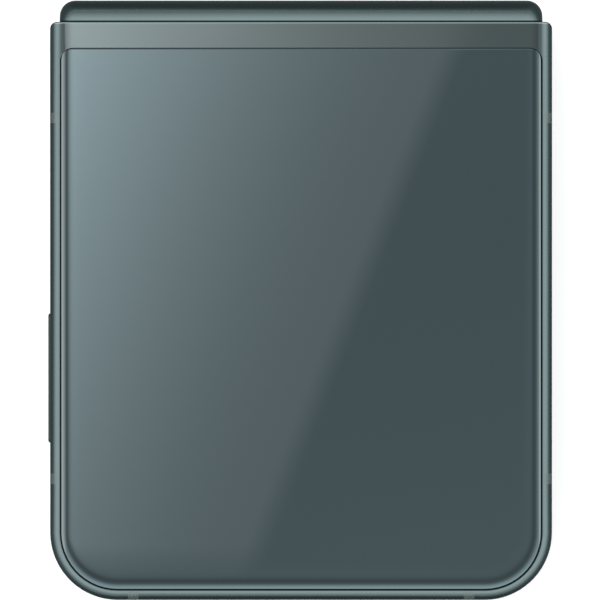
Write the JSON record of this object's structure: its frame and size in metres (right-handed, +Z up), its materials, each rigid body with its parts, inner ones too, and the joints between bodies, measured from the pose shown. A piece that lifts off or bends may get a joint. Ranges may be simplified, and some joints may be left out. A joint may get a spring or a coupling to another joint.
{
  "type": "flip phone",
  "caption": "Closed folding phone: two glass-backed metal halves on a geared twin-pivot hinge under a metal spine, with side keys, SIM tray and a folding display inside.",
  "frame": {"origin": "centre of the bottom of the closed phone's box, on the surface it lies on", "axes": "+Z up, away from the camera half's back; +Y to the hinge; the volume key is on -X"},
  "size_m": [0.0726, 0.0863, 0.0175],
  "materials": {
    "frame_metal": "satin, slate green",
    "spine_metal": "satin, slate green",
    "tinted_glass": "glossy, dark slate green behind",
    "dark_glass": "glossy black",
    "clear_glass": "clear",
    "break_plastic": "satin",
    "bezel_plastic": "matte black",
    "display_film": "glossy film",
    "steel": "machined",
    "light_metal": "cast",
    "copper": "wound, lacquered",
    "board_green": "solder mask",
    "pouch": "foil pouch",
    "ribbon_film": "amber film",
    "module_plastic": "matte"
  },
  "bodies": {
    "cover_half": {"cover_frame": "frame_metal", "cover_antenna_breaks": "break_plastic", "cover_rear_glass": "tinted_glass", "camera_window": "dark_glass", "camera_rings": "frame_metal", "camera_lenses": "dark_glass", "camera_modules": "module_plastic", "flash_lens": "clear_glass", "outer_screen": "display_film", "main_board": "board_green", "main_board_screws": "steel", "board_shields": "light_metal", "cover_battery": "pouch", "front_camera": "module_plastic", "earpiece": "module_plastic", "key_switches": "module_plastic", "sim_socket": "steel", "cover_ribbons": "ribbon_film", "cover_midplate": "light_metal", "cover_hinge_brackets": "steel", "cover_bracket_screws": "steel", "cover_display_plate": "steel", "cover_display": "display_film", "cover_bezel": "bezel_plastic"},
    "spine": {"spine_cover": "spine_metal", "hinge_blocks": "steel", "hinge_block_screws": "steel", "arm_pins": "steel", "cover_side_springs": "steel", "base_side_springs": "steel", "display_fold": "display_film", "hinge_ribbons": "ribbon_film"},
    "base_half": {"base_frame": "frame_metal", "base_antenna_breaks": "break_plastic", "base_rear_glass": "tinted_glass", "base_battery": "pouch", "charging_coil": "copper", "sub_board": "board_green", "sub_board_screws": "steel", "usb_socket": "steel", "loudspeaker": "module_plastic", "microphone": "light_metal", "vibration_motor": "steel", "base_ribbons": "ribbon_film", "base_midplate": "light_metal", "base_hinge_brackets": "steel", "base_bracket_screws": "steel", "base_display_plate": "steel", "base_display": "display_film", "base_bezel": "bezel_plastic"},
    "cover_arms": {"cover_arms": "steel"},
    "base_arms": {"base_arms": "steel"},
    "cover_idlers": {"cover_idlers": "steel"},
    "base_idlers": {"base_idlers": "steel"},
    "volume_key": {"volume_key": "frame_metal"},
    "side_key": {"side_key": "frame_metal"},
    "sim_tray": {"sim_tray": "frame_metal"}
  },
  "joints": [
    {"name": "spine_turn", "type": "hinge", "parent": "cover_half", "child": "spine", "pos_m": [0, 0.03778, 0.0066], "axis": [-1, 0, 0], "range_deg": [0, 90.4], "deforming": ["display_fold", "hinge_ribbons"]},
    {"name": "base_turn", "type": "hinge", "parent": "spine", "child": "base_half", "pos_m": [0, 0.03774, 0.0112], "axis": [-1, 0, 0], "range_deg": [0, 90.4]},
    {"name": "cover_arm_turn", "type": "hinge", "parent": "spine", "child": "cover_arms", "pos_m": [0, 0.04024, 0.00517], "axis": [-1, 0, 0], "range_deg": [-90.4, 0]},
    {"name": "base_arm_turn", "type": "hinge", "parent": "spine", "child": "base_arms", "pos_m": [0, 0.04019, 0.01267], "axis": [-1, 0, 0], "range_deg": [0, 90.4]},
    {"name": "cover_idler_turn", "type": "hinge", "parent": "spine", "child": "cover_idlers", "pos_m": [0, 0.04112, 0.00783], "axis": [-1, 0, 0], "range_deg": [0, 139.71]},
    {"name": "base_idler_turn", "type": "hinge", "parent": "spine", "child": "base_idlers", "pos_m": [0, 0.04111, 0.01003], "axis": [-1, 0, 0], "range_deg": [-139.71, 0]},
    {"name": "volume_rock", "type": "hinge", "parent": "cover_half", "child": "volume_key", "pos_m": [-0.0342, -0.01132, 0.0039], "axis": [0, 0, 1], "range_deg": [-1.4, 1.4], "stiffness_Nm_per_rad": 0.3},
    {"name": "side_key_press", "type": "slide", "parent": "cover_half", "child": "side_key", "axis": [1, 0, 0], "range_m": [0, 0.00025], "stiffness_N_per_m": 2000, "springref_m": -0.0003},
    {"name": "sim_tray_slide", "type": "slide", "parent": "cover_half", "child": "sim_tray", "axis": [1, 0, 0], "range_m": [0, 0.016]}
  ],
  "couplings": [
    {"joint": "base_turn", "follows": "spine_turn", "ratio": 1},
    {"joint": "cover_arm_turn", "follows": "spine_turn", "ratio": -1},
    {"joint": "base_arm_turn", "follows": "spine_turn", "ratio": 1},
    {"joint": "cover_idler_turn", "follows": "spine_turn", "ratio": 1.5455},
    {"joint": "base_idler_turn", "follows": "spine_turn", "ratio": -1.5455}
  ]
}
